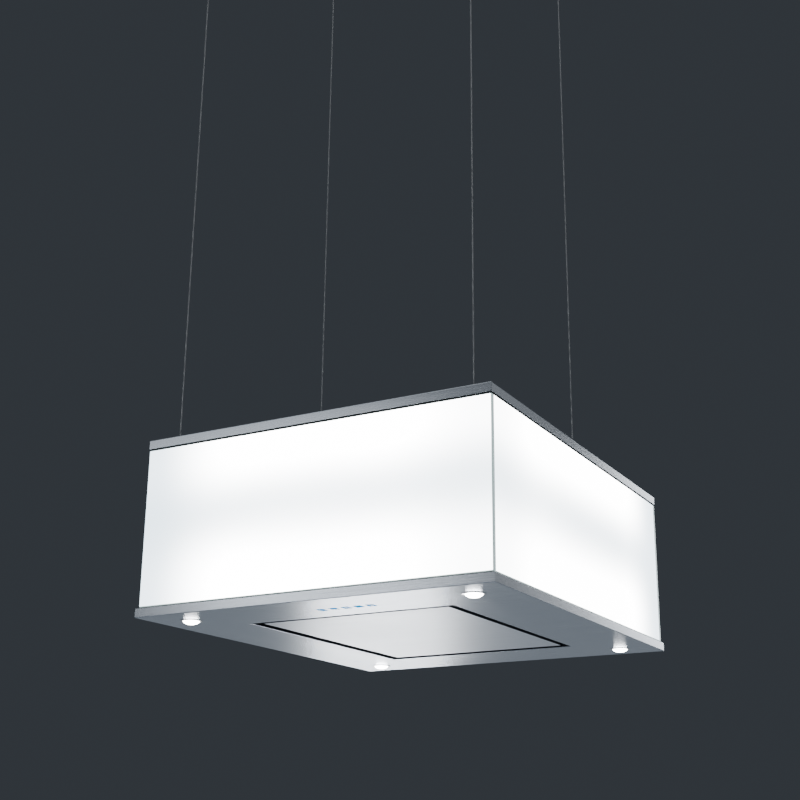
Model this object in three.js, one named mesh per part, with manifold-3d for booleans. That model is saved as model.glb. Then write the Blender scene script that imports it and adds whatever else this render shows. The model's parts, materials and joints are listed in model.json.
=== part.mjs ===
// Island range hood: a lit glass box hung from the ceiling on four steel cables.
// Millimetres, +Z up, +X along the front, the controls face -Y.
// The origin is on the ceiling, above the middle of the hood.
import * as THREE from 'three';
import { mergeVertices } from 'three/addons/utils/BufferGeometryUtils.js';
import Module from 'manifold-3d';

const wasm = await Module();
wasm.setup();

// ---- driving dimensions -------------------------------------------------
const HOOD_X = 600; // width of the control side
const HOOD_Y = 700; // depth
const HOOD_H = 280; // underside to top plate
const DROP = 1130; // ceiling to top plate
const SHEET = 2; // folded steel sheet of the trays
const GAP = 0.3; // clearance between pieces that touch
const RIM_H = 14; // visible height of both rims
const LEDGE = 16; // width of the ledge that holds the glass
const TOP_INSET = 3; // the top tray is smaller all round by this
const GLASS_T = 6;
const GLASS_INSET = 3.5; // glass face behind the face of the bottom rim
const SEAL_H = 1.6;
const OPEN_X = 350; // suction opening in the underside
const OPEN_Y = 450;
const COLLAR_H = 30;
const PANEL_X = 322; // suction panel that closes the opening but for a slot all round
const PANEL_Y = 422;
const PANEL_LOW = 1.2; // the panel sits this far above the underside
const PANEL_H = 10;
const PANEL_T = 1.5;
const PANEL_AXIS_Y = 205;
const PANEL_AXIS_Z = 14;
const PIN_R = 2;
const BORE_R = 2.3;
const OUTLET_X = 300; // air outlet in the top plate
const OUTLET_Y = 400;
const OUTLET_COLLAR = 36; // depth of the collar round the outlet
const WALL_X = 524; // inner air box, outside measure
const WALL_Y = 624;
const WALL_T = 1.5;
const FILTER_Z = 34;
const FILTER_H = 10;
const FRAME_TOP = 46;
const DECK_Z = 70;
const INLET_R = 82;
const INLET_TOP = 84;
const IMPELLER_R = 116;
const IMPELLER_LOW = 94;
const IMPELLER_TOP = 152;
const BLADES = 7;
const SHAFT_R = 4;
const MOTOR_R = 40;
const MOTOR_LOW = 162;
const MOTOR_TOP = 194;
const SPOT_X = 240;
const SPOT_Y = 290;
const SPOT_HOLE = 15;
const SPOT_BODY = 14.6;
const LENS_R = 12.9;
const LENS_DOME = 6; // height of the lens below the underside
const KEY_X = 29.4; // middle of the row of touch keys
const KEY_Y = -278;
const KEY_PITCH = 20.7;
const KEY_COUNT = 5;
const KEY_SIZE = 13;
const CABLE_R = 1;
const CABLE_FRONT = [258, -322];
const CABLE_REAR = [250, 70];
const GRIPPER_R = 6.5;
const GLAND_Y = 300;
const GLAND_R = 8;
const GLAND_BORE = 3.4;

// ---- finishes -----------------------------------------------------------
const finish = (color, roughness, metalness, extra = {}) =>
  new THREE.MeshStandardMaterial({ color, roughness, metalness, ...extra });
const steel = finish(0xa9adb0, 0.35, 1);
const galvanised = finish(0x8e9497, 0.5, 1);
const opal = finish(0xf4f8fa, 0.2, 0, { emissive: 0xdfeaf0 });
const whiteSheet = finish(0xf0f0ee, 0.6, 0);
const blackRubber = finish(0x16181a, 0.8, 0);
const blackPlastic = finish(0x1d1f22, 0.5, 0);
const aluminium = finish(0xc3c6c8, 0.4, 1);
const chrome = finish(0xd8dadc, 0.12, 1);
const lensGlass = finish(0xffffff, 0.15, 0, { emissive: 0xffffff });
const keyGlow = finish(0x46b4f0, 0.3, 0, { emissive: 0x2a90e0 });
const ledTape = finish(0xfff6dc, 0.4, 0, { emissive: 0xfff2d8 });
const circuit = finish(0x1e5a3a, 0.5, 0);
const charcoal = finish(0x202224, 0.95, 0);

// ---- solids -------------------------------------------------------------
function solid(geometry) {
  const bare = geometry.index ? geometry.toNonIndexed() : geometry.clone();
  bare.deleteAttribute('normal');
  bare.deleteAttribute('uv');
  const merged = mergeVertices(bare, 1e-4);
  return new wasm.Manifold(new wasm.Mesh({
    numProp: 3,
    vertProperties: new Float32Array(merged.attributes.position.array),
    triVerts: new Uint32Array(merged.index.array),
  }));
}

function toGeometry(manifold) {
  const mesh = manifold.getMesh();
  const geometry = new THREE.BufferGeometry();
  geometry.setAttribute('position', new THREE.BufferAttribute(mesh.vertProperties, 3));
  geometry.setIndex(new THREE.BufferAttribute(mesh.triVerts, 1));
  geometry.computeVertexNormals();
  return geometry;
}

function join(pieces, cuts = []) {
  let body = solid(pieces[0]);
  for (const piece of pieces.slice(1)) body = body.add(solid(piece));
  for (const cut of cuts) body = body.subtract(solid(cut));
  return toGeometry(body);
}

function block(x0, x1, y0, y1, z0, z1) {
  const box = new THREE.BoxGeometry(x1 - x0, y1 - y0, z1 - z0);
  return box.translate((x0 + x1) / 2, (y0 + y1) / 2, (z0 + z1) / 2);
}

function rectangle(width, depth, Kind = THREE.Shape) {
  const [w, d] = [width / 2, depth / 2];
  const corners = [[-w, -d], [w, -d], [w, d], [-w, d]];
  return new Kind(corners.map(([x, y]) => new THREE.Vector2(x, y)));
}

function rodZ(radius, z0, z1, x, y, sides = 20) {
  const rod = new THREE.CylinderGeometry(radius, radius, z1 - z0, sides).rotateX(Math.PI / 2);
  return rod.translate(x, y, (z0 + z1) / 2);
}

function slab(shape, z0, z1, curveSegments = 8) {
  const options = { depth: z1 - z0, bevelEnabled: false, curveSegments };
  return new THREE.ExtrudeGeometry(shape, options).translate(0, 0, z0);
}

function frameRing(outX, outY, inX, inY, z0, z1) {
  const shape = rectangle(outX, outY);
  shape.holes.push(rectangle(inX, inY, THREE.Path));
  return slab(shape, z0, z1);
}

// A turned piece from [radius, height] points, standing on +Z.
function turned(points, sides = 20) {
  const profile = points.map(([r, z]) => new THREE.Vector2(r, z));
  return new THREE.LatheGeometry(profile, sides).rotateX(Math.PI / 2);
}

function rodX(radius, x0, x1, y, z, sides = 16) {
  const rod = new THREE.CylinderGeometry(radius, radius, x1 - x0, sides).rotateZ(Math.PI / 2);
  return rod.translate((x0 + x1) / 2, y, z);
}

// ---- assembly -----------------------------------------------------------
const hood = new THREE.Group();
const body = new THREE.Group(); // z = 0 is the underside of the hood
body.position.z = -(DROP + HOOD_H);
hood.add(body);

function add(name, geometry, material, group = body) {
  const mesh = new THREE.Mesh(geometry, material);
  mesh.name = name;
  group.add(mesh);
  return mesh;
}

const keyX = (i) => KEY_X + (i - (KEY_COUNT - 1) / 2) * KEY_PITCH;

const spotPlaces = [[1, -1], [-1, -1], [-1, 1], [1, 1]].map(([x, y]) => [x * SPOT_X, y * SPOT_Y]);

const cablePlaces = [
  CABLE_FRONT,
  [-CABLE_FRONT[0], CABLE_FRONT[1]],
  [-CABLE_REAR[0], CABLE_REAR[1]],
  CABLE_REAR,
];

// ---- outer shell --------------------------------------------------------
function bottomTray() {
  const holes = spotPlaces.map(([x, y]) => rodZ(SPOT_HOLE, -1, SHEET + 1, x, y));
  const key = KEY_SIZE / 2;
  for (let i = 0; i < KEY_COUNT; i++) {
    holes.push(block(keyX(i) - key, keyX(i) + key, KEY_Y - key, KEY_Y + key, -1, SHEET + 1));
  }
  const inner = [HOOD_X - 2 * SHEET, HOOD_Y - 2 * SHEET];
  const ledge = [HOOD_X - 2 * LEDGE, HOOD_Y - 2 * LEDGE];
  const collar = [OPEN_X + 2 * SHEET, OPEN_Y + 2 * SHEET];
  return join([
    frameRing(HOOD_X, HOOD_Y, OPEN_X, OPEN_Y, 0, SHEET),
    frameRing(HOOD_X, HOOD_Y, ...inner, 0, RIM_H),
    frameRing(HOOD_X, HOOD_Y, ...ledge, RIM_H - SHEET, RIM_H),
    frameRing(...collar, OPEN_X, OPEN_Y, 0, COLLAR_H),
  ], holes);
}

function topTray() {
  const [x, y] = [HOOD_X - 2 * TOP_INSET, HOOD_Y - 2 * TOP_INSET];
  const low = HOOD_H - RIM_H;
  const hole = (radius, px, py) => rodZ(radius, HOOD_H - SHEET - 1, HOOD_H + 1, px, py);
  const holes = cablePlaces.map(([px, py]) => hole(GRIPPER_R + GAP, px, py));
  return join([
    frameRing(x, y, OUTLET_X, OUTLET_Y, HOOD_H - SHEET, HOOD_H),
    frameRing(x, y, x - 2 * SHEET, y - 2 * SHEET, low, HOOD_H),
    frameRing(x, y, HOOD_X - 2 * LEDGE, HOOD_Y - 2 * LEDGE, low, low + SHEET),
    frameRing(OUTLET_X + 2 * SHEET, OUTLET_Y + 2 * SHEET, OUTLET_X, OUTLET_Y,
      HOOD_H - OUTLET_COLLAR, HOOD_H),
  ], [...holes, hole(GLAND_R + 0.4, 0, GLAND_Y)]);
}

function shell() {
  add('bottom_tray', bottomTray(), steel);
  add('top_tray', topTray(), steel);
  const outX = HOOD_X - 2 * GLASS_INSET;
  const outY = HOOD_Y - 2 * GLASS_INSET;
  const sealLow = RIM_H + GAP;
  const sealTop = HOOD_H - RIM_H - GAP;
  const seal = (z) => frameRing(outX - 1, outY - 1, outX - 13, outY - 13, z, z + SEAL_H);
  add('seal_bottom', seal(sealLow), blackRubber);
  add('seal_top', seal(sealTop - SEAL_H), blackRubber);
  const z0 = sealLow + SEAL_H + GAP;
  const z1 = sealTop - SEAL_H - GAP;
  const [x, y] = [outX / 2, outY / 2];
  const sideY = y - GLASS_T - GAP;
  add('glass_front', block(-x, x, -y, -y + GLASS_T, z0, z1), opal);
  add('glass_rear', block(-x, x, y - GLASS_T, y, z0, z1), opal);
  add('glass_left', block(-x, -x + GLASS_T, -sideY, sideY, z0, z1), opal);
  add('glass_right', block(x - GLASS_T, x, -sideY, sideY, z0, z1), opal);
}

// ---- light box behind the glass ----------------------------------------
function lightBox() {
  const [x, y] = [WALL_X / 2, WALL_Y / 2];
  const z0 = SHEET + GAP;
  const z1 = HOOD_H - SHEET - GAP;
  const sideY = y - WALL_T - GAP;
  add('reflector_front', block(-x, x, -y, -y + WALL_T, z0, z1), whiteSheet);
  add('reflector_rear', block(-x, x, y - WALL_T, y, z0, z1), whiteSheet);
  add('reflector_left', block(-x, -x + WALL_T, -sideY, sideY, z0, z1), whiteSheet);
  add('reflector_right', block(x - WALL_T, x, -sideY, sideY, z0, z1), whiteSheet);
  const tape = (inset, z) => frameRing(HOOD_X - inset, HOOD_Y - inset,
    HOOD_X - inset - 14, HOOD_Y - inset - 14, z, z + 1.6);
  add('led_strip_bottom', tape(46, z0), ledTape);
  add('led_strip_top', tape(26, z1 - 1.6), ledTape);
}

// ---- suction panel and its hinge ---------------------------------------
const LUG_X = [150, 158];
const BRACKET_X = [170.6, OPEN_X / 2 - GAP];

function suctionPanel() {
  const [x, y] = [PANEL_X / 2, PANEL_Y / 2];
  const low = PANEL_LOW;
  const lug = (side) => {
    const [a, b] = side > 0 ? LUG_X : [-LUG_X[1], -LUG_X[0]];
    return block(a, b, PANEL_AXIS_Y - 6, PANEL_AXIS_Y + 5, low + 0.5, PANEL_AXIS_Z + 4);
  };
  return join([
    block(-x, x, -y, y, low, low + PANEL_T),
    frameRing(PANEL_X, PANEL_Y, PANEL_X - 2 * PANEL_T, PANEL_Y - 2 * PANEL_T, low, low + PANEL_H),
    lug(1),
    lug(-1),
    block(-12, 12, -y + 0.5, -y + 6.5, low + 0.5, PANEL_AXIS_Z - GAP), // striker for the magnet
  ], [rodX(BORE_R, -PANEL_X / 2 + 2, PANEL_X / 2 - 2, PANEL_AXIS_Y, PANEL_AXIS_Z)]);
}

function filterFrame() {
  const [outX, outY] = [OPEN_X + 2 * SHEET, OPEN_Y + 2 * SHEET];
  const z0 = COLLAR_H + GAP;
  return join([
    frameRing(outX, outY, outX - 10, outY - 10, z0, FRAME_TOP),
    block(-1.5, 1.5, -outY / 2 + 2, outY / 2 - 2, z0 + 3, FRAME_TOP),
  ]);
}

// The gasket that the grease filters are pressed up against.
function filterGasket() {
  const [outX, outY] = [OPEN_X + 2 * SHEET, OPEN_Y + 2 * SHEET];
  return frameRing(outX, outY, outX - 26, outY - 26, FRAME_TOP + GAP, FRAME_TOP + GAP + 2);
}

// A plate riveted to the collar, with the bore for a hinge pin.
function hingeBracket(side) {
  const [a, b] = side > 0 ? BRACKET_X : [-BRACKET_X[1], -BRACKET_X[0]];
  const plate = block(a, b, PANEL_AXIS_Y - 7, PANEL_AXIS_Y + 7, PANEL_AXIS_Z - 5, COLLAR_H - 1);
  return join([plate], [rodX(BORE_R, -OPEN_X / 2, OPEN_X / 2, PANEL_AXIS_Y, PANEL_AXIS_Z)]);
}

function suction() {
  add('suction_panel', suctionPanel(), steel);
  add('filter_frame', filterFrame(), galvanised);
  add('filter_gasket', filterGasket(), blackRubber);
  for (const [name, side] of [['right', 1], ['left', -1]]) {
    add(`hinge_bracket_${name}`, hingeBracket(side), galvanised);
    const [near, far] = [LUG_X[0] - 2, BRACKET_X[1] - 0.5];
    const [a, b] = side > 0 ? [near, far] : [-far, -near];
    add(`hinge_pin_${name}`, rodX(PIN_R, a, b, PANEL_AXIS_Y, PANEL_AXIS_Z), chrome);
  }
  const wall = -OPEN_Y / 2 + GAP;
  add('catch_magnet', block(-15, 15, wall, wall + 20, PANEL_AXIS_Z, 23.5), blackPlastic);
}

// ---- grease filters -----------------------------------------------------
const FILTER_W = 168;
const FILTER_D = 436;
const HANDLE_Y = -190;
const HANDLE_Z = FILTER_Z - 3;
const HANDLE_W = 60;
const HANDLE_L = 25;
const WIRE = 2.4;

function greaseFilter(x) {
  const shape = rectangle(FILTER_W, FILTER_D);
  shape.holes.push(rectangle(FILTER_W - 16, FILTER_D - 16, THREE.Path));
  const lug = (side) => {
    const edge = side * (HANDLE_W / 2 + 4);
    return block(edge - 3, edge + 3, HANDLE_Y - 4, HANDLE_Y + 4, HANDLE_Z - 3.5, FILTER_Z + 5);
  };
  const core = block(-FILTER_W / 2 + 4, FILTER_W / 2 - 4, -FILTER_D / 2 + 4, FILTER_D / 2 - 4,
    FILTER_Z + 3.8, FILTER_Z + 6.2);
  const bore = rodX(2, -HANDLE_W, HANDLE_W, HANDLE_Y, HANDLE_Z, 12);
  const filter = join([slab(shape, FILTER_Z, FILTER_Z + FILTER_H), core, lug(1), lug(-1)], [bore]);
  return filter.translate(x, 0, 0);
}

// A flat bail with a stub on each arm that turns in the filter's lugs.
function filterHandle(x) {
  const [w, l, t] = [HANDLE_W / 2, HANDLE_L, WIRE / 2];
  const stub = 6;
  const outline = [
    [-w - stub, -t], [-w + WIRE, -t], [-w + WIRE, l - WIRE], [w - WIRE, l - WIRE],
    [w - WIRE, -t], [w + stub, -t], [w + stub, t], [w, t], [w, l], [-w, l], [-w, t],
    [-w - stub, t],
  ];
  const shape = new THREE.Shape(outline.map(([px, py]) => new THREE.Vector2(px, py)));
  return slab(shape, -t, t).translate(x, HANDLE_Y, HANDLE_Z);
}

function greaseFilters() {
  for (const [name, side] of [['right', 1], ['left', -1]]) {
    const x = side * (FILTER_W / 2 + 2);
    add(`grease_filter_${name}`, greaseFilter(x), aluminium);
    add(`filter_handle_${name}`, filterHandle(x), chrome);
  }
}

// ---- blower -------------------------------------------------------------
function blowerDeck() {
  const [x, y] = [WALL_X / 2 - WALL_T - GAP, WALL_Y / 2 - WALL_T - GAP];
  const plate = block(-x, x, -y, y, DECK_Z, DECK_Z + SHEET);
  const low = DECK_Z - 8;
  const mouth = [[0, low], [INLET_R + 2, low], [INLET_R, DECK_Z], [INLET_R, INLET_TOP],
    [0, INLET_TOP]];
  const throat = rodZ(INLET_R - SHEET, low - 1, INLET_TOP + 1, 0, 0, 32);
  return join([plate, turned(mouth, 32)], [throat]);
}

function impeller() {
  const blades = [];
  const [low, top] = [IMPELLER_LOW, IMPELLER_TOP];
  for (let i = 0; i < BLADES; i++) {
    const curve = new THREE.Shape();
    curve.moveTo(52, 0);
    curve.quadraticCurveTo(82, 6, 105, 44);
    curve.lineTo(102.5, 45.5);
    curve.quadraticCurveTo(80, 9, 52, 2.6);
    blades.push(slab(curve, low + 1, top - 1, 4).rotateZ((i / BLADES) * 2 * Math.PI));
  }
  const disc = [[0, top - 2], [IMPELLER_R, top - 2], [IMPELLER_R, top], [0, top]];
  const hub = [[0, top - 12], [14, top - 12], [16, top - 1], [0, top - 1]];
  const shroud = [[INLET_R + 6, low], [IMPELLER_R, low], [IMPELLER_R, low + 2],
    [INLET_R + 6, low + 2], [INLET_R + 6, low]];
  const pieces = [turned(disc, 32), turned(hub), turned(shroud, 32), ...blades];
  return join(pieces, [rodZ(SHAFT_R + 0.4, top - 22, top + 8, 0, 0, 16)]);
}

function blower() {
  add('blower_deck', blowerDeck(), galvanised);
  add('impeller', impeller(), blackPlastic);
  const [low, high] = [MOTOR_LOW, MOTOR_TOP];
  const motor = [[0, low - 23], [SHAFT_R, low - 23], [SHAFT_R, low - 4], [12, low - 4], [12, low],
    [MOTOR_R, low], [MOTOR_R, high - 4], [MOTOR_R - 6, high], [0, high]];
  add('blower_motor', turned(motor, 28), blackPlastic);
  const top = high + GAP;
  const foot = DECK_Z + SHEET + GAP;
  const leg = (side) => [
    block(side * 134 - 1, side * 134 + 1, -20, 20, foot, top + 3),
    block(side * 140 - 8, side * 140 + 8, -20, 20, foot, foot + SHEET),
  ];
  add('motor_bridge', join([
    block(-135, 135, -20, 20, top, top + 3),
    ...leg(1),
    ...leg(-1),
  ]), galvanised);
}

// ---- charcoal cartridge under the outlet grille ------------------------
function outletGrille() {
  const [x, y] = [OUTLET_X / 2 + 12, OUTLET_Y / 2 + 12];
  const plate = block(-x, x, -y, y, HOOD_H + GAP, HOOD_H + GAP + SHEET);
  const slots = [];
  const rows = 14;
  const pitch = OUTLET_Y / rows;
  for (let row = 0; row < rows; row++) {
    const middle = (row - (rows - 1) / 2) * pitch;
    const [low, high] = [middle - pitch / 4, middle + pitch / 4];
    slots.push(block(-OUTLET_X / 2 + 8, -8, low, high, HOOD_H - 1, HOOD_H + 5));
    slots.push(block(8, OUTLET_X / 2 - 8, low, high, HOOD_H - 1, HOOD_H + 5));
  }
  return join([plate], slots);
}

function cartridge() {
  add('outlet_grille', outletGrille(), steel);
  const [x, y] = [OUTLET_X / 2 - 4, OUTLET_Y / 2 - 4];
  add('charcoal_filter', block(-x, x, -y, y, HOOD_H - 34, HOOD_H), charcoal);
}

// ---- lamps, keys and electrics -----------------------------------------
function spots() {
  const seat = 6;
  const cup = LENS_R + GAP;
  const housing = [[0, seat], [cup, seat], [cup, -1.2], [17, -1.2], [17, -GAP], [SPOT_BODY, -GAP],
    [SPOT_BODY, 20], [12, 28], [0, 28]];
  const dome = [];
  for (let i = 0; i <= 6; i++) {
    const turn = (i / 6) * (Math.PI / 2);
    dome.push([LENS_R * Math.sin(turn), -LENS_DOME * Math.cos(turn)]);
  }
  const lens = [...dome, [LENS_R, seat - GAP], [0, seat - GAP]];
  spotPlaces.forEach(([x, y], i) => {
    add(`spot_housing_${i + 1}`, turned(housing).translate(x, y, 0), aluminium);
    add(`spot_lens_${i + 1}`, turned(lens).translate(x, y, 0), lensGlass);
  });
}

function electrics() {
  const half = (KEY_COUNT * KEY_PITCH) / 2;
  const base = SHEET + GAP;
  const key = KEY_SIZE / 2 - GAP;
  const pads = [];
  for (let i = 0; i < KEY_COUNT; i++) {
    pads.push(block(keyX(i) - key, keyX(i) + key, KEY_Y - key, KEY_Y + key, 0, base + 1));
  }
  const bar = block(KEY_X - half, KEY_X + half, KEY_Y - 12, KEY_Y + 12, base, base + 3);
  add('key_strip', join([bar, ...pads]), keyGlow);
  const board = base + 3 + GAP;
  add('control_board', block(KEY_X - half, KEY_X + half, KEY_Y - 14, KEY_Y + 20,
    board, board + 1.6), circuit);
  add('led_driver', block(-210, -50, -300, -240, base, 32), whiteSheet);
  const foot = HOOD_H + GAP;
  const gland = [[GLAND_BORE, HOOD_H - 18], [GLAND_R, HOOD_H - 18], [GLAND_R, foot], [12, foot],
    [12, HOOD_H + 8], [9, HOOD_H + 16], [GLAND_BORE, HOOD_H + 16], [GLAND_BORE, HOOD_H - 18]];
  add('mains_gland', turned(gland).translate(0, GLAND_Y, 0), blackPlastic);
}

// ---- suspension ---------------------------------------------------------
const SOCKET_Z = HOOD_H - 18; // floor of the gripper's socket, where the cable ends
const PLUNGER_R = 4.2;
const PLUNGER_BORE = 1.8;
const FITTING_H = 32;
const FITTING_BORE = 10;

function suspension() {
  const foot = HOOD_H + GAP;
  const face = foot + 2.5;
  const bore = PLUNGER_R + 0.4;
  const grip = [[0, SOCKET_Z - 12], [5, SOCKET_Z - 12], [GRIPPER_R, SOCKET_Z - 10],
    [GRIPPER_R, foot], [10, foot], [10, face], [bore, face], [bore, SOCKET_Z], [0, SOCKET_Z]];
  const head = HOOD_H + 6;
  const ring = [[PLUNGER_BORE, SOCKET_Z + 5], [PLUNGER_R, SOCKET_Z + 5], [PLUNGER_R, head],
    [5.4, head], [5.4, head + 1.6], [PLUNGER_BORE, head + 2], [PLUNGER_BORE, SOCKET_Z + 5]];
  const fitting = [[0, -FITTING_H + FITTING_BORE], [1.6, -FITTING_H + FITTING_BORE],
    [1.6, -FITTING_H], [4, -FITTING_H], [9, -24], [9, -7], [14, -5], [14, 0], [0, 0]];
  const cableTop = -FITTING_H + FITTING_BORE - GAP;
  const cableLow = SOCKET_Z + GAP + body.position.z;
  cablePlaces.forEach(([x, y], i) => {
    const n = i + 1;
    add(`gripper_${n}`, turned(grip, 16).translate(x, y, 0), chrome);
    add(`gripper_plunger_${n}`, turned(ring, 16).translate(x, y, 0), galvanised);
    const length = cableTop - cableLow;
    const cable = new THREE.CylinderGeometry(CABLE_R, CABLE_R, length, 8).rotateX(Math.PI / 2);
    add(`cable_${n}`, cable.translate(x, y, (cableTop + cableLow) / 2), galvanised, hood);
    add(`ceiling_fitting_${n}`, turned(fitting).translate(x, y, 0), chrome, hood);
  });
}

shell();
lightBox();
suction();
greaseFilters();
blower();
cartridge();
spots();
electrics();
suspension();

export default hood;
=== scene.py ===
import json
import math

import bmesh
import bpy
from mathutils import Matrix, Vector


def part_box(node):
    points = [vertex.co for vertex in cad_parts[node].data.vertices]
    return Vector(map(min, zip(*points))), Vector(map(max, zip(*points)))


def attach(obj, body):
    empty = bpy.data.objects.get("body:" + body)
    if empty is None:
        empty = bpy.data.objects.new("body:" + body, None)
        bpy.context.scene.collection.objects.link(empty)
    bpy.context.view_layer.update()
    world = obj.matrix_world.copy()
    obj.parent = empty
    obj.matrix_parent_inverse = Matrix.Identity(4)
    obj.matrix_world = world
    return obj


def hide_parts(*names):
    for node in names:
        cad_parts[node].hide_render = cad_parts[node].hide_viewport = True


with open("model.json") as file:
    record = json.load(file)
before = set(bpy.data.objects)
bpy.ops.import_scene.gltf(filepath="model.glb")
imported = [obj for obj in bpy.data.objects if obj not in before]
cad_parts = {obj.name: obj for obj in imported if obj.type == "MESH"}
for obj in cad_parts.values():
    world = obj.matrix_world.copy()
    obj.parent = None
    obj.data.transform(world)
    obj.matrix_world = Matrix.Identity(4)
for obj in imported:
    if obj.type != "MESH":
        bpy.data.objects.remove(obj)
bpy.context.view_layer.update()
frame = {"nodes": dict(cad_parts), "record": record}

# ---------------------------------------------------------------- places
MM = 0.001
RECORD = frame["record"]
BODY = {n: b for b, nodes in RECORD["behaviour"]["bodies"].items() for n in nodes}
TRAY_LO, TRAY_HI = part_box("bottom_tray")
TOP_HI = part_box("top_tray")[1]
UNDER = TRAY_LO.z  # the plane of the underside
TOP = TOP_HI.z  # the plane of the top plate
OPEN_X, OPEN_Y = 175 * MM, 225 * MM  # half of the suction opening
FLOOR = UNDER - 1.62
ON_PLANE = 0.01 * MM  # how near a vertex is to a plane that it lies on
ON_OPENING = 0.1 * MM  # the same, for the middle of a face or edge of the suction opening
SIDES = ("right", "left")
FOUR = (1, 2, 3, 4)


def on_axis(node, z):
    """The middle of a CAD node in plan, at height z."""
    lo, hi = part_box(node)
    return (lo.x + hi.x) / 2, (lo.y + hi.y) / 2, z


# ---------------------------------------------------------------- camera
CAMERA_FROM_CORNER = (0.698, -1.497, -0.328)
CAMERA_UP, CAMERA_LEFT = 17.55, 27.49  # degrees above the level, and to the left of +Y
CAMERA_LENS = 57.8
CAMERA_SHIFT = (-0.05, 0.05)


def make_camera():
    """Below and in front of the corner between the control side and the right side."""
    near_corner = Vector((TRAY_HI.x, TRAY_LO.y, TRAY_LO.z))
    data = bpy.data.cameras.new("camera")
    data.lens = CAMERA_LENS
    data.shift_x, data.shift_y = CAMERA_SHIFT
    camera = bpy.data.objects.new("camera", data)
    camera.location = near_corner + Vector(CAMERA_FROM_CORNER)
    camera.rotation_euler = (math.radians(90 + CAMERA_UP), 0, math.radians(CAMERA_LEFT))
    bpy.context.scene.collection.objects.link(camera)
    bpy.context.scene.camera = camera


# ---------------------------------------------------------------- mesh tools
def add_object(name, bm, materials):
    bmesh.ops.recalc_face_normals(bm, faces=bm.faces)
    mesh = bpy.data.meshes.new(name)
    bm.to_mesh(mesh)
    bm.free()
    piece = bpy.data.objects.new(name, mesh)
    bpy.context.scene.collection.objects.link(piece)
    for material in materials:
        mesh.materials.append(material)
    return piece


def smooth(piece, angle=32):
    for face in piece.data.polygons:
        face.use_smooth = True
    piece.data.set_sharp_from_angle(angle=math.radians(angle))
    return piece


def weigh_normals(piece):
    """Keeps the large faces flat beside their rounded edges."""
    for face in piece.data.polygons:
        face.use_smooth = True
    piece.data.set_sharp_from_angle(angle=math.radians(50))
    modifier = piece.modifiers.new("flat faces", "WEIGHTED_NORMAL")
    modifier.keep_sharp = True
    return piece


def grain_uv(piece):
    """UVs in metres whose U runs along the brushed grain: along X, or along Y on side faces."""
    mesh = piece.data
    layer = mesh.uv_layers.new(name="grain")
    for face in mesh.polygons:
        along_y = abs(face.normal.x) > 0.6
        for loop in face.loop_indices:
            p = mesh.vertices[mesh.loops[loop].vertex_index].co
            u, v = (p.y, p.x + p.z) if along_y else (p.x, p.y + p.z)
            layer.data[loop].uv = (u, v)
    return piece


def add_box(bm, lo, hi):
    size = [b - a for a, b in zip(lo, hi)]
    middle = [(a + b) / 2 for a, b in zip(lo, hi)]
    matrix = Matrix.Translation(middle) @ Matrix.Diagonal((*size, 1))
    bmesh.ops.create_cube(bm, size=1, matrix=matrix)


def round_edges(bm, edges, radius, segments=2):
    """Rounds the edges by radius, in millimetres."""
    bmesh.ops.bevel(bm, geom=edges, offset=radius * MM, segments=segments, affect="EDGES",
                    profile=0.5, clamp_overlap=True)


def add_lathe(bm, profile, centre, steps):
    """Turns (radius, height) points in millimetres round the vertical line at centre.

    A profile that starts and ends off the line is closed into a ring."""
    rings = []
    for radius, height in profile:
        z = centre[2] + height * MM
        if radius < 1e-6:
            rings.append([bm.verts.new((centre[0], centre[1], z))])
            continue
        ring = []
        for i in range(steps):
            a = 2 * math.pi * i / steps
            x = centre[0] + radius * MM * math.cos(a)
            y = centre[1] + radius * MM * math.sin(a)
            ring.append(bm.verts.new((x, y, z)))
        rings.append(ring)
    closed = len(rings[0]) > 1 and len(rings[-1]) > 1
    pairs = list(zip(rings, rings[1:] + rings[:1])) if closed else list(zip(rings, rings[1:]))
    for low, high in pairs:
        for i in range(steps):
            j = (i + 1) % steps
            if len(low) == 1:
                corners = [low[0], high[i], high[j]]
            elif len(high) == 1:
                corners = [low[i], high[0], low[j]]
            else:
                corners = [low[i], low[j], high[j], high[i]]
            bm.faces.new(corners)


def lathe(name, profile, centre, material, steps=48):
    bm = bmesh.new()
    add_lathe(bm, profile, centre, steps)
    return smooth(add_object(name, bm, [material]), 28)


def stand_in(piece, node):
    """The piece rides with the CAD node's body and is shown in its place."""
    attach(piece, BODY[node])
    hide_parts(node)
    return piece


def extra(piece, body):
    """The piece rides with a body and has no CAD node of its own."""
    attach(piece, body)


def node_bmesh(node):
    """A CAD node's surface with its flat faces joined up again."""
    bm = bmesh.new()
    bm.from_mesh(frame["nodes"][node].data)
    bmesh.ops.remove_doubles(bm, verts=bm.verts, dist=2e-6)
    bmesh.ops.dissolve_limit(bm, angle_limit=math.radians(1), verts=bm.verts, edges=bm.edges)
    return bm


def sharp_edges(bm, test=lambda edge: True, angle=35):
    limit = math.radians(angle)
    return [e for e in bm.edges if len(e.link_faces) == 2
            and e.calc_face_angle(0) > limit and test(e)]


def refined(node, material, radius, segments=2):
    """A copy of a CAD node with every sharp edge rounded by radius, in millimetres."""
    bm = node_bmesh(node)
    round_edges(bm, sharp_edges(bm), radius, segments)
    piece = weigh_normals(add_object(node + "_skin", bm, [material]))
    return stand_in(piece, node)


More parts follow.
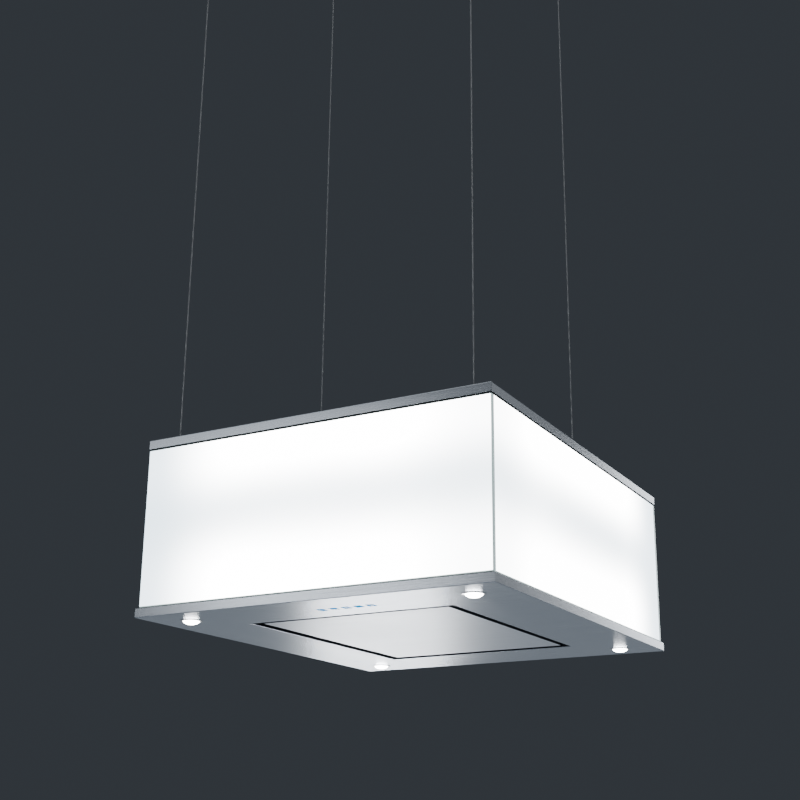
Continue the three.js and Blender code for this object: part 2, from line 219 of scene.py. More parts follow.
# ---------------------------------------------------------------- materials
class Surface:
    """A Principled material whose nodes read the piece's own position in metres."""

    def __init__(self, name, color, roughness, metallic=0.0, **sockets):
        self.material = bpy.data.materials.new(name)
        self.material.use_nodes = True
        self.tree = self.material.node_tree
        self.shader = self.tree.nodes["Principled BSDF"]
        self.shader.inputs["Base Color"].default_value = (*color, 1)
        self.shader.inputs["Roughness"].default_value = roughness
        self.shader.inputs["Metallic"].default_value = metallic
        for socket, value in sockets.items():
            self.shader.inputs[socket.replace("_", " ")].default_value = value
        self.place = self.node("TexCoord").outputs["Object"]

    def node(self, kind, **settings):
        made = self.tree.nodes.new("ShaderNode" + kind)
        for key, value in settings.items():
            setattr(made, key, value)
        return made

    def link(self, source, target):
        self.tree.links.new(source, target)

    def scaled(self, scale):
        mapping = self.node("Mapping")
        mapping.inputs["Scale"].default_value = scale
        self.link(self.place, mapping.inputs["Vector"])
        return mapping.outputs["Vector"]

    def noise(self, scale, detail):
        texture = self.node("TexNoise")
        texture.inputs["Scale"].default_value = 1.0
        texture.inputs["Detail"].default_value = detail
        texture.inputs["Roughness"].default_value = 0.55
        self.link(self.scaled(scale), texture.inputs["Vector"])
        return texture.outputs["Fac"]

    def spread(self, value, low, high, start=0.25, end=0.75, kind="LINEAR"):
        span = self.node("MapRange", interpolation_type=kind)
        for socket, number in zip(("From Min", "From Max", "To Min", "To Max"),
                                  (start, end, low, high)):
            span.inputs[socket].default_value = number
        self.link(value, span.inputs["Value"])
        return span.outputs["Result"]

    def blend(self, factor, first, second):
        mix = self.node("Mix", data_type="RGBA")
        mix.inputs[6].default_value = (*first, 1)
        mix.inputs[7].default_value = (*second, 1)
        self.link(factor, mix.inputs[0])
        return mix.outputs[2]

    def maths(self, operation, first, second):
        node = self.node("Math", operation=operation)
        for socket, value in zip(node.inputs, (first, second)):
            if isinstance(value, (int, float)):
                socket.default_value = value
            else:
                self.link(value, socket)
        return node.outputs[0]

    def part(self, axis):
        split = self.node("SeparateXYZ")
        self.link(self.place, split.inputs[0])
        return split.outputs[axis]

    def bump(self, height, strength, distance):
        bump = self.node("Bump")
        bump.inputs["Strength"].default_value = strength
        bump.inputs["Distance"].default_value = distance
        self.link(height, bump.inputs["Height"])
        self.link(bump.outputs["Normal"], self.shader.inputs["Normal"])


def brushed_steel(name, color, roughness):
    """Straight-grained stainless steel: streaks along X in tone, gloss and relief."""
    steel = Surface(name, color, roughness[0], 1.0, Anisotropic=0.55, Anisotropic_Rotation=0.25)
    grain = steel.noise((5.0, 1900.0, 1900.0), 2.0)
    streaks = steel.noise((2.0, 260.0, 260.0), 3.0)
    clouds = steel.noise((3.0, 3.0, 3.0), 2.0)
    darker = tuple(c * 0.86 for c in color)
    tone = steel.maths("ADD", steel.maths("MULTIPLY", grain, 0.55),
                       steel.maths("MULTIPLY", streaks, 0.45))
    steel.link(steel.blend(steel.spread(tone, 0, 1), darker, color),
               steel.shader.inputs["Base Color"])
    gloss = steel.maths("ADD", steel.maths("MULTIPLY", grain, 0.7),
                        steel.maths("MULTIPLY", clouds, 0.3))
    steel.link(steel.spread(gloss, *roughness), steel.shader.inputs["Roughness"])
    steel.bump(grain, 0.14, 0.00008)
    tangent = steel.node("Tangent", direction_type="UV_MAP", uv_map="grain")
    steel.link(tangent.outputs[0], steel.shader.inputs["Tangent"])
    return steel.material


def lit_glass(name, lo, hi, along, dim_low, dim_high):
    """Opal glass lit from behind: brightest near both rims, dimmer half way up and at its ends.

    dim_low and dim_high say how much of the light is lost at the low and the high end."""
    end_fade = 0.20
    bottom_band, top_band = (0.02, 0.14), (0.12, 0.01)  # where each rim's light fades
    glass = Surface(name, (0.86, 0.885, 0.895), 0.16, Coat_Weight=0.35, Coat_Roughness=0.04)
    length = glass.part(along)
    height = glass.part("Z")
    axis = "XYZ".index(along)
    low_end = glass.spread(length, 1 - dim_low, 1, lo[axis], lo[axis] + end_fade,
                           "SMOOTHERSTEP")
    high_end = glass.spread(length, 1, 1 - dim_high, hi[axis] - end_fade, hi[axis],
                            "SMOOTHERSTEP")
    ends = glass.maths("MULTIPLY", low_end, high_end)
    from_bottom = glass.spread(height, 1, 0, lo.z + bottom_band[0], lo.z + bottom_band[1],
                               "SMOOTHERSTEP")
    from_top = glass.spread(height, 0, 1, hi.z - top_band[0], hi.z - top_band[1],
                            "SMOOTHERSTEP")
    bands = glass.maths("MAXIMUM", from_bottom, from_top)
    drift = glass.spread(glass.noise((2.4, 2.4, 5.0), 1.0), -0.08, 0.10)
    glow = glass.maths("MULTIPLY", glass.maths("ADD", bands, drift), ends)
    lift = glass.spread(ends, 0.0, 0.22, 0, 1)
    glow = glass.spread(glass.maths("ADD", glow, lift), 0, 1, 0, 1)  # kept between 0 and 1
    glass.link(glass.blend(glow, (0.15, 0.185, 0.215), (1.0, 1.0, 1.0)),
               glass.shader.inputs["Emission Color"])
    glass.shader.inputs["Emission Strength"].default_value = 16.0
    ripple = glass.noise((9, 9, 9), 1.0)
    glass.bump(ripple, 0.04, 0.002)
    return glass.material


def glass_edge():
    """The ground and polished edge of the glass: grey-green, lit a little from inside."""
    edge = Surface("glass_edge", (0.30, 0.40, 0.38), 0.12, Coat_Weight=0.5)
    edge.shader.inputs["Emission Strength"].default_value = 1.0
    streak = edge.noise((60, 60, 900), 2.0)
    edge.link(edge.blend(streak, (0.34, 0.46, 0.46), (0.50, 0.62, 0.63)),
              edge.shader.inputs["Emission Color"])
    return edge.material


def plain_metal(name, color, roughness, spots=90.0, dark=0.8):
    """Sheet, cast or drawn metal: a cloudy tone and a slightly uneven gloss."""
    metal = Surface(name, color, roughness, 1.0)
    clouds = metal.noise((spots, spots, spots), 4.0)
    metal.link(metal.blend(metal.spread(clouds, 0, 1), tuple(c * dark for c in color), color),
               metal.shader.inputs["Base Color"])
    metal.link(metal.spread(clouds, roughness * 0.8, roughness * 1.25),
               metal.shader.inputs["Roughness"])
    metal.bump(clouds, 0.05, 0.0002)
    return metal.material


def turned_metal(name, color, roughness):
    """Turned bright metal: fine rings stacked along the piece's own axis."""
    metal = Surface(name, color, roughness, 1.0)
    rings = metal.noise((40, 40, 5200), 2.0)
    metal.link(metal.blend(rings, tuple(c * 0.82 for c in color), color),
               metal.shader.inputs["Base Color"])
    metal.link(metal.spread(rings, roughness * 0.7, roughness * 1.4),
               metal.shader.inputs["Roughness"])
    metal.bump(rings, 0.10, 0.00006)
    return metal.material


def moulded(name, color, roughness, grain=1400.0, relief=0.12):
    """Moulded plastic, paint or rubber: a fine grain and a faint change of tone."""
    plastic = Surface(name, color, roughness)
    texture = plastic.noise((grain, grain, grain), 2.0)
    tone = plastic.noise((14, 14, 14), 2.0)
    plastic.link(plastic.blend(tone, tuple(c * 0.85 for c in color), color),
                 plastic.shader.inputs["Base Color"])
    plastic.link(plastic.spread(texture, roughness * 0.9, min(1, roughness * 1.15)),
                 plastic.shader.inputs["Roughness"])
    plastic.bump(texture, relief, 0.0001)
    return plastic.material


def lit(name, color, strength, base, variation=0.85, scale=60.0, roughness=0.25,
        specular=0.5):
    """A lit lens, tape or symbol, with a little unevenness in its light."""
    glow = Surface(name, base, roughness, Specular_IOR_Level=specular)
    glow.shader.inputs["Emission Strength"].default_value = strength
    uneven = glow.noise((scale, scale, scale), 2.0)
    glow.link(glow.blend(uneven, tuple(c * variation for c in color), color),
              glow.shader.inputs["Emission Color"])
    return glow.material


def fleece(name):
    """Activated charcoal in a fibrous fleece: coarse black grains under grey lint."""
    black = Surface(name, (0.02, 0.02, 0.022), 0.95)
    cells = black.node("TexVoronoi")
    cells.inputs["Scale"].default_value = 420.0
    black.link(black.place, cells.inputs["Vector"])
    lint = black.noise((90, 900, 900), 3.0)
    mixed = black.maths("MULTIPLY", cells.outputs["Distance"], lint)
    black.link(black.blend(black.spread(mixed, 0, 1, 0.1, 0.5), (0.012, 0.012, 0.013),
                           (0.06, 0.06, 0.065)), black.shader.inputs["Base Color"])
    black.bump(cells.outputs["Distance"], 0.7, 0.0012)
    return black.material


def make_materials():
    return {
        "steel": brushed_steel("brushed_steel", (0.525, 0.575, 0.64), (0.2, 0.3)),
        # painted light: the suction panel's steel is a much lighter copy of the same brushed
        # steel as the underside round it
        "lit_steel_panel": brushed_steel("brushed_steel_panel_painted_light", (0.80, 0.845, 0.90), (0.27, 0.4)),
        # painted shade: a darker copy of the brushed steel for the panel's folded sides in the
        # slot
        "shaded_steel_fold": brushed_steel("brushed_steel_fold_painted_shade", (0.13, 0.15, 0.18), (0.3, 0.42)),
        "edge": glass_edge(),
        # painted shade: a near-black metal for the upright faces inside the openings, where the
        # steel only lies in shade
        "shaded_channel": plain_metal("suction_channel_painted_shade", (0.035, 0.04, 0.05), 0.5),
        "rubber": moulded("black_rubber", (0.012, 0.013, 0.014), 0.7, 2200.0),
        "white": moulded("white_powder_coat", (0.82, 0.82, 0.81), 0.5, 900.0, 0.2),
        "zinc": plain_metal("zinc_plated_steel", (0.46, 0.48, 0.50), 0.42),
        "chrome": turned_metal("polished_nickel", (0.70, 0.71, 0.72), 0.14),
        "turned": turned_metal("turned_steel", (0.42, 0.43, 0.44), 0.3),
        "lamp": turned_metal("lamp_aluminium", (0.74, 0.75, 0.76), 0.2),
        "black": moulded("black_plastic", (0.02, 0.021, 0.023), 0.45),
        "enamel": moulded("black_enamel", (0.016, 0.017, 0.018), 0.3, 300.0, 0.3),
        "cream": moulded("white_plastic", (0.74, 0.74, 0.71), 0.45),
        "board": moulded("circuit_board", (0.012, 0.11, 0.05), 0.3, 500.0),
        "aluminium": plain_metal("filter_aluminium", (0.68, 0.69, 0.70), 0.34, 30.0),
        "mesh": plain_metal("filter_mesh", (0.60, 0.61, 0.62), 0.3, 500.0, 0.6),
        "cable": plain_metal("wire_rope_steel", (0.66, 0.68, 0.70), 0.42, 700.0, 0.7),
        "charcoal": fleece("charcoal_fleece"),
        "tape": lit("led_tape", (1.0, 0.93, 0.8), 6.0, (0.9, 0.88, 0.8)),
        "lens": lit("lamp_lens", (1.0, 1.0, 1.0), 26.0, (0.95, 0.95, 0.95), variation=0.9,
                    scale=200.0, roughness=0.1),
        "symbol": lit("key_symbol", (0.0, 0.36, 0.88), 1.0, (0.0, 0.03, 0.06), variation=0.8,
                      scale=300.0, roughness=0.8, specular=0.0),
    }


# ---------------------------------------------------------------- cables
STRANDS = 6
STRAND_OUTLINE = (0.74, 1, 0.93)  # shares of the rope's radius: a groove and a lobe per strand
LAY = 13 * MM  # length of one turn of the strands
ROPE_STEP = 2.4 * MM
PATH_POINTS = 24


def wire_rope(n, material):
    """A wire rope under tension: six strands twisted round each other, seen as lobes."""
    lo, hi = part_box(f"cable_{n}")
    x, y, radius = (lo.x + hi.x) / 2, (lo.y + hi.y) / 2, (hi.x - lo.x) / 2
    count = round((hi.z - lo.z) / ROPE_STEP)
    around = len(STRAND_OUTLINE) * STRANDS
    bm = bmesh.new()
    rings = []
    for k in range(count + 1):
        z = lo.z + (hi.z - lo.z) * k / count
        turn = 2 * math.pi * (z - lo.z) / LAY
        ring = []
        for i in range(around):
            a = 2 * math.pi * i / around
            r = radius * STRAND_OUTLINE[i % len(STRAND_OUTLINE)]
            ring.append(bm.verts.new((x + r * math.cos(a + turn),
                                      y + r * math.sin(a + turn), z)))
        rings.append(ring)
    for low, high in zip(rings, rings[1:]):
        for i in range(around):
            j = (i + 1) % around
            bm.faces.new((low[i], low[j], high[j], high[i]))
    bm.faces.new(rings[0])
    bm.faces.new(rings[-1])
    rope = smooth(add_object(f"cable_{n}_rope", bm, [material]), 60)
    stand_in(rope, f"cable_{n}")
    path = [(x, y, lo.z + (hi.z - lo.z) * k / (PATH_POINTS - 1)) for k in range(PATH_POINTS)]
    return rope, path, radius * 2


def hang_cables(m):
    for n in FOUR:
        rope, path, diameter = wire_rope(n, m["cable"])
        fitting = ceiling_fitting(n, m["chrome"])


def ceiling_fitting(n, material):
    """A turned cap against the ceiling, grooved for the fingers, with the cable's bore below."""
    node = f"ceiling_fitting_{n}"
    profile = [(0, -22), (1.6, -22), (1.6, -31.5), (2.0, -32), (3.6, -32), (4.2, -31.6),
               (8.6, -24.6)]
    for k in reversed(range(5)):
        z = -11 - 2.4 * k
        profile += [(8.6, z - 2.1), (8.6, z - 1.8), (9, z - 1.5), (9, z)]
    profile += [(9, -9), (9.4, -7.6), (13.2, -5.2), (14, -4.2), (14, -0.6), (13.4, 0), (0, 0)]
    centre = on_axis(node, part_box(node)[1].z)
    return stand_in(lathe(node + "_skin", profile, centre, material, 56), node)


# ---------------------------------------------------------------- outer shell
def opening_edge(edge):
    """True for the lower edge of the suction opening."""
    middle = (edge.verts[0].co + edge.verts[1].co) / 2
    inside = abs(middle.x) < OPEN_X + ON_OPENING and abs(middle.y) < OPEN_Y + ON_OPENING
    low = all(abs(v.co.z - UNDER) < ON_PLANE for v in edge.verts)
    past = max(abs(middle.x) - OPEN_X, abs(middle.y) - OPEN_Y)
    return low and inside and abs(past) < ON_OPENING


def in_channel(face):
    """True for the upright faces inside the suction opening and the outlet, which get a
    near-black material as painted shade.
    """
    middle = face.calc_center_median()
    upright = abs(face.normal.z) < 0.3
    inside = abs(middle.x) < OPEN_X + ON_OPENING and abs(middle.y) < OPEN_Y + ON_OPENING
    return upright and inside


def trays(m):
    """Both folded trays, with a wide fold along the outer edge and fine edges elsewhere."""
    for node, plate in (("bottom_tray", TRAY_LO.z), ("top_tray", TOP_HI.z)):
        lo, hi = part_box(node)
        bm = node_bmesh(node)

        def outside(edge, plate=plate, lo=lo, hi=hi):
            on_plate = all(abs(v.co.z - plate) < ON_PLANE for v in edge.verts)
            return on_plate and all(
                min(v.co.x - lo.x, hi.x - v.co.x, v.co.y - lo.y, hi.y - v.co.y) < ON_PLANE
                for v in edge.verts)

        round_edges(bm, sharp_edges(bm, outside), 1.1, 4)
        if node == "bottom_tray":
            round_edges(bm, sharp_edges(bm, opening_edge), 1.0, 4)
        round_edges(bm, sharp_edges(bm, angle=60), 0.25)
        bm.normal_update()
        # The upright faces inside the openings take the near-black material: painted shade in the
        # slots.
        for face in bm.faces:
            face.material_index = 1 if in_channel(face) else 0
        piece = weigh_normals(add_object(node + "_skin", bm, [m["steel"], m["shaded_channel"]]))
        stand_in(grain_uv(piece), node)


def glass(m):
    """Four panes with rounded edges; the edge faces show the body of the glass."""
    panes = (("glass_front", "X", 0.95, 0.5), ("glass_rear", "X", 0.6, 0.6),
             ("glass_left", "Y", 0.6, 0.6), ("glass_right", "Y", 0.5, 1.0))
    for node, along, dim_low, dim_high in panes:
        lo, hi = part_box(node)
        bm = bmesh.new()
        add_box(bm, lo, hi)
        round_edges(bm, bm.edges[:], 1.2)
        bm.normal_update()
        face_axis = 1 if along == "X" else 0
        for face in bm.faces:
            flat = abs(face.normal[face_axis]) > 0.99
            face.material_index = 0 if flat else 1
        materials = [lit_glass(node + "_light", lo, hi, along, dim_low, dim_high), m["edge"]]
        stand_in(weigh_normals(add_object(node + "_pane", bm, materials)), node)
    for node in ("seal_bottom", "seal_top"):
        refined(node, m["rubber"], 0.2)


def screw(bm, centre, r=3.0, h=1.4):
    """A low domed head with a socket, of radius r and height h in millimetres."""
    profile = [(0, h * 0.3), (r * 0.42, h * 0.3), (r * 0.46, h), (r * 0.7, h * 0.94),
               (r * 0.92, h * 0.6), (r, 0.05), (r, 0), (0, 0)]
    add_lathe(bm, profile, centre, 20)


TOP_SCREW_X, TOP_SCREW_Y = (-200, -70, 70, 200), (-230, -50, 160, 270)
TOP_SCREW_INSET = (41 * MM, 38 * MM)  # from the edge of the top plate to the flange below it


def top_screws(m):
    """Screws that hold the top tray to the inner box."""
    bm = bmesh.new()
    x0, y0 = TOP_HI.x - TOP_SCREW_INSET[0], TOP_HI.y - TOP_SCREW_INSET[1]
    for sign in (-1, 1):
        for x in TOP_SCREW_X:
            screw(bm, (x * MM, sign * y0, TOP))
        for y in TOP_SCREW_Y:
            screw(bm, (sign * x0, y * MM, TOP))
    extra(smooth(add_object("top_tray_screws", bm, [m["chrome"]])), "root")


# ---------------------------------------------------------------- underside
def suction(m):
    """The panel, whose folded sides are painted dark as shade in the slot, with its hinge, catch
    and frame.
    """
    # The panel takes the lighter copy of the brushed steel: painted light.
    piece = refined("suction_panel", m["lit_steel_panel"], 0.45, 3)
    # The panel's upright faces take the darker copy of the steel: painted shade.
    piece.data.materials.append(m["shaded_steel_fold"])
    for face in piece.data.polygons:
        if abs(face.normal.z) < 0.3:
            face.material_index = 1
    grain_uv(piece)
    refined("filter_frame", m["zinc"], 0.3)
    refined("filter_gasket", m["rubber"], 0.2)
    refined("catch_magnet", m["black"], 0.8, 3)
    for side in SIDES:
        refined(f"hinge_bracket_{side}", m["zinc"], 0.4)
        hinge_pin(f"hinge_pin_{side}", m["chrome"])


def hinge_pin(node, material):
    """A straight pin with chamfered ends, lying along X."""
    lo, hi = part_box(node)
    radius = (hi.z - lo.z) / 2
    y, z = (lo.y + hi.y) / 2, (lo.z + hi.z) / 2
    chamfer = 0.6 * MM
    steps = 32
    angles = [2 * math.pi * i / steps for i in range(steps)]
    bm = bmesh.new()
    rings = []
    for x, share in ((lo.x, 0.7), (lo.x + chamfer, 1), (hi.x - chamfer, 1), (hi.x, 0.7)):
        rings.append([bm.verts.new((x, y + radius * share * math.cos(a),
                                    z + radius * share * math.sin(a))) for a in angles])
    for a, b in zip(rings, rings[1:]):
        for i in range(steps):
            j = (i + 1) % steps
            bm.faces.new((a[i], a[j], b[j], b[i]))
    bm.faces.new(rings[0])
    bm.faces.new(rings[-1])
    stand_in(smooth(add_object(node + "_skin", bm, [material]), 30), node)


def lamps(m):
    """Four spots: a turned housing with a bezel and cooling fins, and a domed lens."""
    housing = [(0, 6), (13.2, 6), (13.2, -0.6), (13.6, -1.2), (14.6, -1.2), (16.6, -0.8),
               (17, -0.4), (17, -0.3), (14.6, -0.3), (14.6, 3), (14.2, 3.4), (14.6, 3.8)]
    for z in (8, 12, 16):
        housing += [(14.6, z), (13.4, z + 0.4), (13.4, z + 1.6), (14.6, z + 2)]
    housing += [(14.6, 20), (12, 28), (0, 28)]
    steps = 12
    turns = [math.pi / 2 * k / steps for k in range(steps + 1)]
    lens = [(12.85 * math.sin(a), -5.95 * math.cos(a)) for a in turns]
    lens += [(12.85, 5.7), (0, 5.7)]
    for n in FOUR:
        centre = on_axis(f"spot_housing_{n}", UNDER)
        stand_in(lathe(f"spot_housing_{n}_skin", housing, centre, m["lamp"], 64),
                 f"spot_housing_{n}")
        stand_in(lathe(f"spot_lens_{n}_skin", lens, centre, m["lens"], 64), f"spot_lens_{n}")


SYMBOL_PROUD = 0.12 * MM  # below the face of the keys
SYMBOL_SUNK = 0.1 * MM


def symbol_boxes(kind):
    """Lit parts of a generic key symbol as (x0, x1, y0, y1) in millimetres from its middle."""
    x, y, gap = 6.1, 7.6, 0.8
    if kind == "minus":
        return [(-x, x, -y, -gap), (-x, x, gap, y)]
    if kind == "plus":
        return [(*across, *along) for across in ((-x, -gap), (gap, x))
                for along in ((-y, -gap), (gap, y))]
    if kind == "level":
        return [(-x + 4.2 * k, -x + 3.8 + 4.2 * k, -y, 3.6 + 2 * k) for k in range(3)]
    if kind == "lamp":
        return [(-x, x, -y, y)]
    return [(-x, -gap, -y, y), (gap, x, -y, -gap), (gap, x, gap, y)]


def touch_keys(m):
    """Steel key faces flush with the underside, each with a lit generic symbol."""
    piece = refined("key_strip", m["steel"], 0.12)
    grain_uv(piece)
    lo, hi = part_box("key_strip")
    kinds = ("minus", "level", "plus", "lamp", "clock")
    pitch = (hi.x - lo.x) / len(kinds)
    y = (lo.y + hi.y) / 2
    bm = bmesh.new()
    for i, kind in enumerate(kinds):
        x = lo.x + pitch * (i + 0.5)
        for x0, x1, y0, y1 in symbol_boxes(kind):
            add_box(bm, (x + x0 * MM, y + y0 * MM, UNDER - SYMBOL_PROUD),
                    (x + x1 * MM, y + y1 * MM, UNDER + SYMBOL_SUNK))
    extra(add_object("key_symbols", bm, [m["symbol"]]), "root")


# ---------------------------------------------------------------- grease filters
MESH_LOW = UNDER + 34.6 * MM  # the lowest wires
MESH_PITCH, MESH_WIRE = 5 * MM, 0.9 * MM
FILTER_FRAME = 8 * MM  # width of the frame round the mesh


def grease_filters(m):
    for side in SIDES:
        node = f"grease_filter_{side}"
        refined(node, m["aluminium"], 0.6, 3)
        extra(wire_mesh(node, m["mesh"]), node)
        folding_handle(side, m["chrome"])


def wire_mesh(node, material):
    """Wires in both directions; every second row lies a wire higher."""
    lo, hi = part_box(node)
    x0, x1, y0, y1 = (lo.x + FILTER_FRAME, hi.x - FILTER_FRAME,
                      lo.y + FILTER_FRAME, hi.y - FILTER_FRAME)
    rows, columns = int((y1 - y0) / MESH_PITCH), int((x1 - x0) / MESH_PITCH)
    half = MESH_WIRE / 2
    bm = bmesh.new()
    for k in range(1, rows):
        y = y0 + (y1 - y0) * k / rows
        z = MESH_LOW + (k % 2) * MESH_WIRE
        add_box(bm, (x0, y - half, z), (x1, y + half, z + MESH_WIRE))
    for k in range(1, columns):
        x = x0 + (x1 - x0) * k / columns
        z = MESH_LOW + MESH_WIRE * 2
        add_box(bm, (x - half, y0, z), (x + half, y1, z + MESH_WIRE))
    return add_object(node + "_mesh", bm, [material])


def folding_handle(side, material):
    """A bent round wire: two stubs in the filter's lugs and a bail between them."""
    node = f"filter_handle_{side}"
    lo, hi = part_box(node)
    radius = (hi.z - lo.z) / 2
    z = (lo.z + hi.z) / 2
    pivot = lo.y + radius
    inset = 6 * MM + radius  # the length of a stub
    corner = 4 * MM  # the cut corners of the bent wire
    left, right, far = lo.x + inset, hi.x - inset, hi.y - radius
    points = [(lo.x, pivot), (left - corner, pivot), (left, pivot + corner), (left, far - corner),
              (left + corner, far), (right - corner, far), (right, far - corner),
              (right, pivot + corner), (right + corner, pivot), (hi.x, pivot)]
    curve = bpy.data.curves.new(node, "CURVE")
    curve.dimensions = "3D"
    curve.bevel_depth = radius
    curve.bevel_resolution = 4
    curve.use_fill_caps = True
    spline = curve.splines.new("POLY")
    spline.points.add(len(points) - 1)
    for point, (px, py) in zip(spline.points, points):
        point.co = (px, py, z, 1)
    curve.materials.append(material)
    piece = bpy.data.objects.new(f"{node}_wire", curve)
    bpy.context.scene.collection.objects.link(piece)
    stand_in(piece, node)


# ---------------------------------------------------------------- blower and cartridge
def blower(m):
    refined("blower_deck", m["zinc"], 0.4)
    refined("motor_bridge", m["zinc"], 0.4)
    refined("impeller", m["black"], 0.3)
    profile = [(0, 139), (3.4, 139), (4, 139.6), (4, 157), (5, 158), (11, 158), (12, 159),
               (12, 162), (37, 162), (39, 163), (40, 165)]
    for k in range(5):  # cooling fins
        z = 167 + 4.2 * k
        profile += [(40, z), (37, z + 0.6), (37, z + 1.8), (40, z + 2.4)]
    profile += [(40, 189), (38, 191.4), (34, 193.4), (33, 194), (0, 194)]
    motor = lathe("blower_motor_skin", profile, on_axis("blower_motor", UNDER), m["enamel"], 64)
    stand_in(motor, "blower_motor")


def cartridge(m):
    """The outlet grille with its screws, over the pleated charcoal pad in its case."""
    grain_uv(refined("outlet_grille", m["steel"], 0.3))
    lo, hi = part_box("outlet_grille")
    bm = bmesh.new()
    inset = 6 * MM
    for x in (lo.x + inset, 0, hi.x - inset):
        for y in (lo.y + inset, hi.y - inset):
            screw(bm, (x, y, hi.z), 2.6, 1.2)
    screws = smooth(add_object("outlet_grille_screws", bm, [m["chrome"]]))
    extra(screws, "filter_cartridge")
    lo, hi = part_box("charcoal_filter")
    bm = bmesh.new()
    wall = 3 * MM
    add_box(bm, lo, (lo.x + wall, hi.y, hi.z))
    add_box(bm, (hi.x - wall, lo.y, lo.z), hi)
    add_box(bm, (lo.x + wall, lo.y, lo.z), (hi.x - wall, lo.y + wall, hi.z))
    add_box(bm, (lo.x + wall, hi.y - wall, lo.z), (hi.x - wall, hi.y, hi.z))
    case = add_object("charcoal_filter_case", bm, [m["black"]])
    extra(case, "filter_cartridge")
    stand_in(pleats(lo, hi, wall, m["charcoal"]), "charcoal_filter")


PLEATS = 26
FLEECE = 4 * MM  # thickness of the pleated fleece
PLEAT_BELOW_TOP, PLEAT_ABOVE_FLOOR = 2 * MM, 3 * MM


def pleats(lo, hi, wall, material):
    """A pleated fleece: a closed zigzag band along Y."""
    x0, x1 = lo.x + wall, hi.x - wall
    y0, y1 = lo.y + wall, hi.y - wall
    upper, lower = [], []
    for k in range(2 * PLEATS + 1):
        y = y0 + (y1 - y0) * k / (2 * PLEATS)
        crest = hi.z - PLEAT_BELOW_TOP if k % 2 else lo.z + FLEECE + PLEAT_ABOVE_FLOOR
        upper.append((y, crest))
        lower.append((y, crest - FLEECE))
    outline = upper + lower[::-1]
    bm = bmesh.new()
    near = [bm.verts.new((x0, y, z)) for y, z in outline]
    far = [bm.verts.new((x1, y, z)) for y, z in outline]
    size = len(outline)
    half = len(upper)
    for i in range(size):
        j = (i + 1) % size
        bm.faces.new((near[i], near[j], far[j], far[i]))
    for ring in (near, far):
        for i in range(half - 1):
            bm.faces.new((ring[i], ring[i + 1], ring[size - 2 - i], ring[size - 1 - i]))
    return add_object("charcoal_filter_pleats", bm, [material])


# ---------------------------------------------------------------- inner box and electrics
def inner_box(m):
    for node in ("reflector_front", "reflector_rear", "reflector_left", "reflector_right"):
        refined(node, m["white"], 0.3)
    for node in ("led_strip_bottom", "led_strip_top"):
        refined(node, m["tape"], 0.2)


def electrics(m):
    refined("led_driver", m["cream"], 1.5, 3)
    refined("control_board", m["board"], 0.2)
    lo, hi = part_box("control_board")
    bm = bmesh.new()
    for k in range(6):  # chips 7 x 6 mm, 16 mm apart
        x = lo.x + 10 * MM + k * 16 * MM
        add_box(bm, (x, lo.y + 6 * MM, hi.z), (x + 7 * MM, lo.y + 12 * MM, hi.z + 1.6 * MM))
    extra(add_object("control_board_chips", bm, [m["black"]]), "root")
    profile = [(3.4, -18), (8, -18), (8, 0.3), (12, 0.3), (12, 7), (11.4, 7.6), (9.6, 8),
               (9.4, 14.6), (8.4, 15.8), (4.2, 16), (3.4, 15.4)]
    gland = lathe("mains_gland_skin", profile, on_axis("mains_gland", TOP), m["black"])
    stand_in(gland, "mains_gland")


# ---------------------------------------------------------------- cable grippers
def grippers(m):
    """A turned socket with a ribbed shank below the top plate, and the plunger in it."""
    body = [(0, -29.8), (4.4, -29.8), (5, -29.4), (6.5, -28)]
    for k in range(6):
        z = -25 + 3 * k
        body += [(6.5, z), (6.1, z + 0.4), (6.1, z + 0.8), (6.5, z + 1.2)]
    body += [(6.5, 0.3), (9.4, 0.3), (10, 0.8), (10, 2.2), (9.5, 2.8), (5.0, 2.8), (4.6, 2.4),
             (4.6, -18), (0, -18)]
    plunger = [(1.8, -13), (4.2, -13), (4.2, 6), (5.1, 6), (5.4, 6.3), (5.4, 7.3), (5.1, 7.6),
               (2.2, 7.95), (1.8, 7.6)]
    for n in FOUR:
        centre = on_axis(f"gripper_{n}", TOP)
        stand_in(lathe(f"gripper_{n}_skin", body, centre, m["chrome"], 56), f"gripper_{n}")
        stand_in(lathe(f"gripper_plunger_{n}_skin", plunger, centre, m["turned"]),
                 f"gripper_plunger_{n}")


# ---------------------------------------------------------------- studio
FLOOR_HALF = 60  # metres, so that no view shows the floor's edge near the hood
SUN_ENERGY, SUN_ANGLE = 1.35, 100


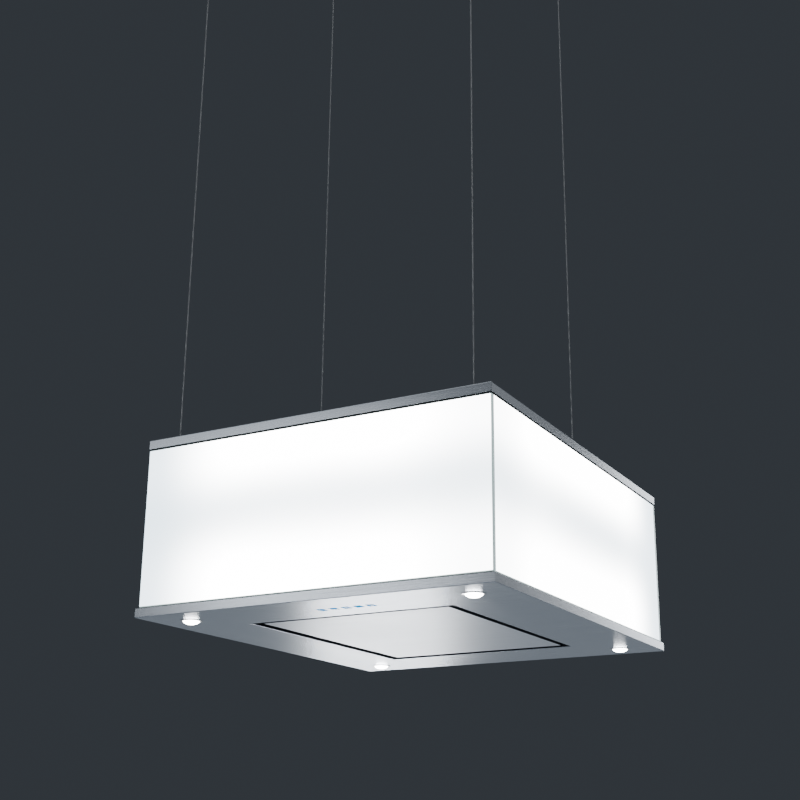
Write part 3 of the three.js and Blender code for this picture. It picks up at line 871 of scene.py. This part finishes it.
def studio():
    """A pale floor far below, and soft panels that the steel faces mirror."""
    world = bpy.data.worlds.new("studio")
    world.use_nodes = True
    background = world.node_tree.nodes["Background"]
    background.inputs["Color"].default_value = (0.036, 0.042, 0.050, 1)
    background.inputs["Strength"].default_value = 1.0
    bpy.context.scene.world = world
    half = FLOOR_HALF
    bm = bmesh.new()
    corners = [(-half, -half), (half, -half), (half, half), (-half, half)]
    bm.faces.new([bm.verts.new((x, y, FLOOR)) for x, y in corners])
    floor_surface = moulded("floor", (0.55, 0.60, 0.66), 0.7, 60.0, 0.02)
    add_object("floor", bm, [floor_surface])
    daylight = bpy.data.lights.new("overhead", "SUN")
    daylight.energy = SUN_ENERGY
    daylight.angle = math.radians(SUN_ANGLE)
    place_light("overhead", daylight, (0, 0, 4), (0.2, 0.3, 0))
    panel_light("front_left", (-4.3, -5.0, 1.0), (3.2, 1.8), 15)
    panel_light("front_low", (-2.9, -5.0, -0.45), (1.4, 0.4), 14)
    panel_light("back_right", (1.75, 5.4, -0.2), (0.7, 1.6), 18)
    panel_light("right", (3.0, 5.4, 1.35), (1.6, 1.2), 2.5)
    panel_light("low_back", (-2.45, 4.0, -2.68), (0.7, 0.5), 1.3, spread=50)


def panel_light(name, place, size, watts, spread=180):
    """A rectangular lamp turned to the hood; spread is the angle of its beam in degrees."""
    data = bpy.data.lights.new(name, "AREA")
    data.spread = math.radians(spread)
    data.shape = "RECTANGLE"
    data.size, data.size_y = size
    data.energy = watts
    place_light(name, data, place, (0, 0, (UNDER + TOP) / 2))


def place_light(name, data, place, target):
    light = bpy.data.objects.new(name, data)
    light.location = place
    toward = Vector(target) - light.location
    light.rotation_euler = toward.to_track_quat("-Z", "Y").to_euler()
    light.visible_camera = False
    bpy.context.scene.collection.objects.link(light)


# ---------------------------------------------------------------- build
make_camera()
MATERIALS = make_materials()
hang_cables(MATERIALS)
trays(MATERIALS)
glass(MATERIALS)
top_screws(MATERIALS)
suction(MATERIALS)
lamps(MATERIALS)
touch_keys(MATERIALS)
grease_filters(MATERIALS)
blower(MATERIALS)
cartridge(MATERIALS)
inner_box(MATERIALS)
electrics(MATERIALS)
grippers(MATERIALS)
studio()
